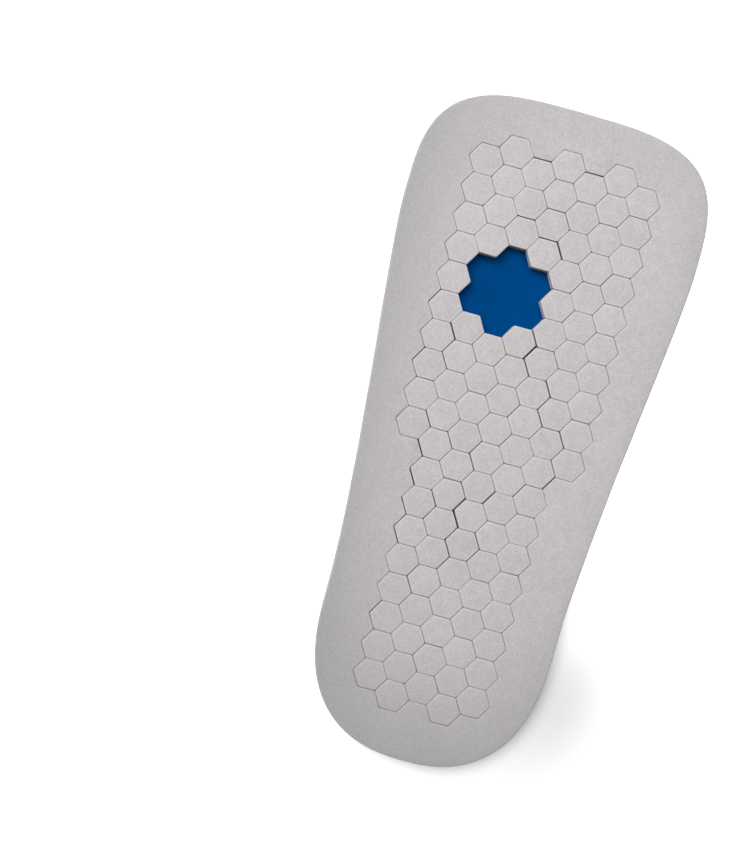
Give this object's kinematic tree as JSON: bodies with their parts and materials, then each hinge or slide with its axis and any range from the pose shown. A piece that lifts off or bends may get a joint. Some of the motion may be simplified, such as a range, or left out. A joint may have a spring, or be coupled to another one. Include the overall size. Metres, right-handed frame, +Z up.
{
  "type": "off-loading insole",
  "caption": "Flat three-ply foam insole, wide at the toes, with a field of hexagonal plugs that lift out singly and a relief opening under the forefoot.",
  "frame": {"origin": "middle of the underside, at the centre of the bounding box's lowest face", "axes": "+X across the foot to the right as seen from above, +Y from heel to toe, +Z up from the floor to the foot"},
  "size_m": [0.127, 0.284, 0.0096],
  "materials": {
    "base_foam": "matt blue closed-cell foam",
    "core_foam": "matt off-white closed-cell foam",
    "top_foam": "matt light grey fine-grained foam",
    "plug_foam": "matt light grey fine-grained foam"
  },
  "bodies": {
    "root": {"base_sheet": "base_foam", "core_frame": "core_foam", "top_frame": "top_foam", "plug_row_01": "plug_foam", "plug_row_02": "plug_foam", "plug_row_03": "plug_foam", "plug_row_04a": "plug_foam", "plug_row_04b": "plug_foam", "plug_row_05a": "plug_foam", "plug_row_05b": "plug_foam", "plug_row_06a": "plug_foam", "plug_row_06b": "plug_foam", "plug_row_07": "plug_foam", "plug_row_08": "plug_foam", "plug_row_09": "plug_foam", "plug_row_10": "plug_foam", "plug_row_11": "plug_foam", "plug_row_12": "plug_foam", "plug_row_13": "plug_foam", "plug_row_14": "plug_foam", "plug_row_15": "plug_foam", "plug_row_16": "plug_foam", "plug_row_17": "plug_foam", "plug_row_18": "plug_foam", "plug_row_19": "plug_foam"}
  },
  "joints": []
}
